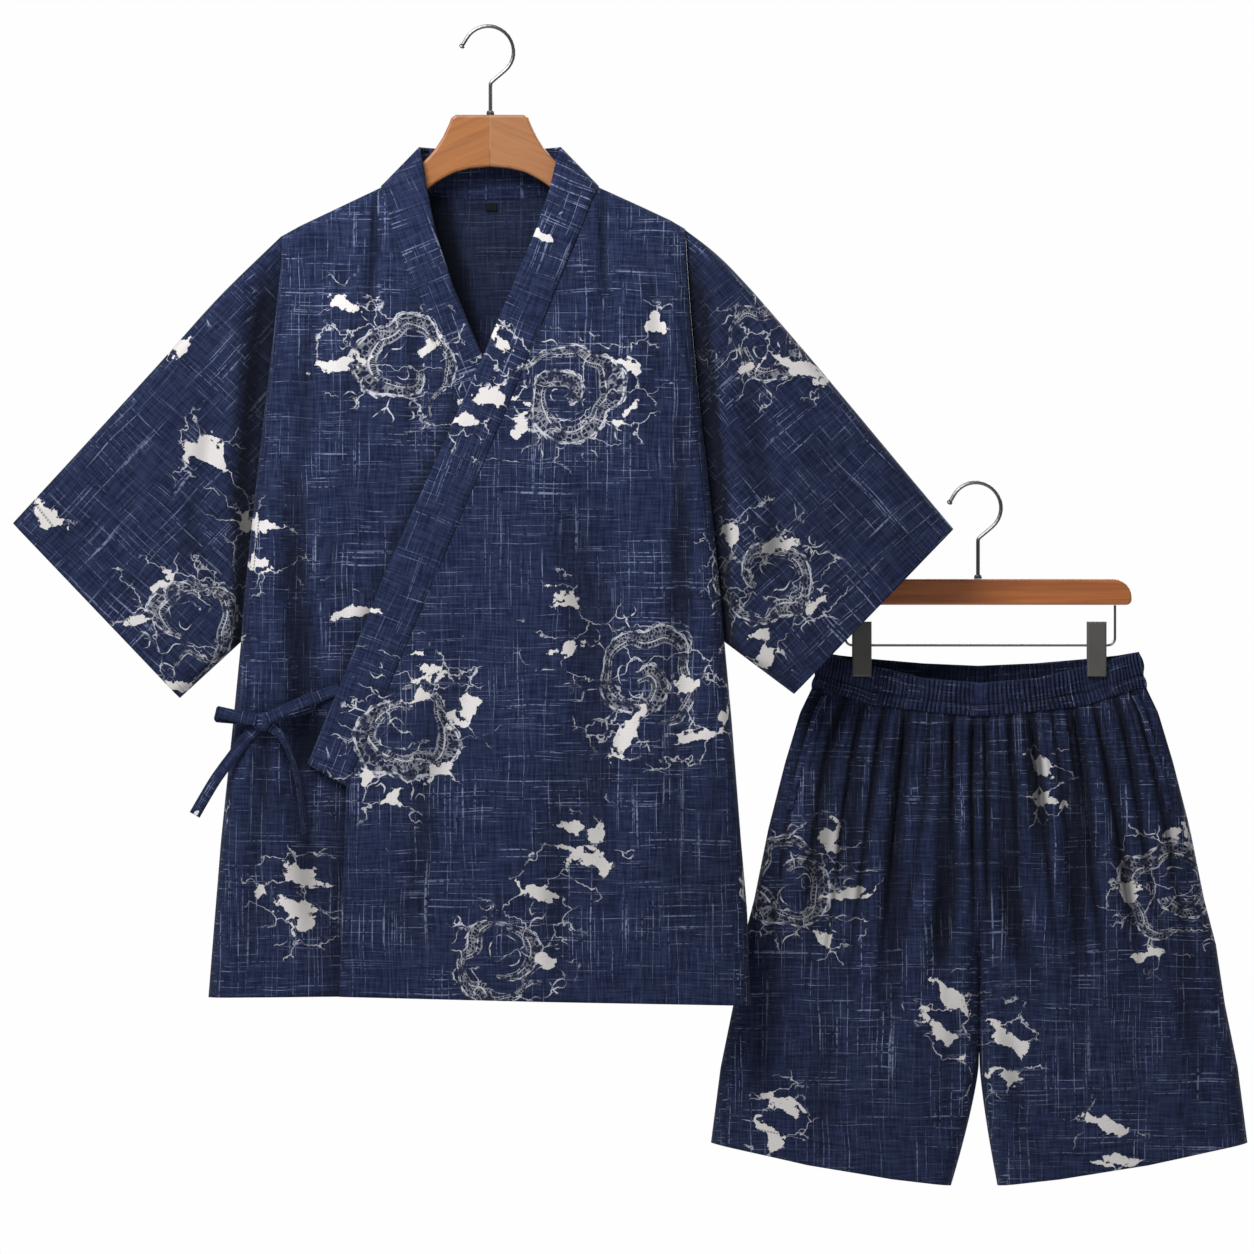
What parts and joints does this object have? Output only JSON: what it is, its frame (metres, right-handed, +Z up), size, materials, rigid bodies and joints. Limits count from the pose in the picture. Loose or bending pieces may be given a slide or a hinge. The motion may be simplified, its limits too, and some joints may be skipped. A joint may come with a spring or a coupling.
{
  "type": "jinbei set on a jacket hanger and a clip hanger",
  "caption": "Wrap jacket with side tie on a wooden hanger, and matching elastic-waist shorts on a clip hanger, as hollow cloth walls.",
  "frame": {"origin": "the seat inside the top of the jacket hanger's hook, where a rail carries it", "axes": "+Z up, -Y towards the viewer of the front, +X to the right as seen from the front"},
  "size_m": [1.2376, 0.1148, 1.1637],
  "materials": {
    "cloth": "plain-woven slub cotton, matt",
    "label": "black woven tape",
    "wire": "plated steel wire",
    "light_wood_left": "satin varnish",
    "light_wood_right": "satin varnish",
    "brown_wood": "satin varnish",
    "clip": "moulded, slightly shiny"
  },
  "bodies": {
    "root": {"back": "cloth", "front_over": "cloth", "front_under": "cloth", "collar": "cloth", "sleeve_left": "cloth", "sleeve_right": "cloth", "tie_strap": "cloth", "bow_loop_left": "cloth", "bow_loop_right": "cloth", "bow_tail_left": "cloth", "bow_tail_right": "cloth", "bow_knot": "cloth", "neck_label": "label", "waistband": "cloth", "leg_front_left": "cloth", "leg_front_right": "cloth", "leg_back_left": "cloth", "leg_back_right": "cloth", "pocket_edge_left": "cloth", "pocket_edge_right": "cloth", "jacket_hook": "wire", "jacket_ferrule": "wire", "hanger_wood_left": "light_wood_left", "hanger_wood_right": "light_wood_right", "shorts_hook": "wire", "shorts_ferrule": "wire", "hanger_bar": "brown_wood", "clip_rail": "wire", "clip_left_front": "clip", "clip_left_back": "clip", "clip_right_front": "clip", "clip_right_back": "clip"}
  },
  "joints": []
}
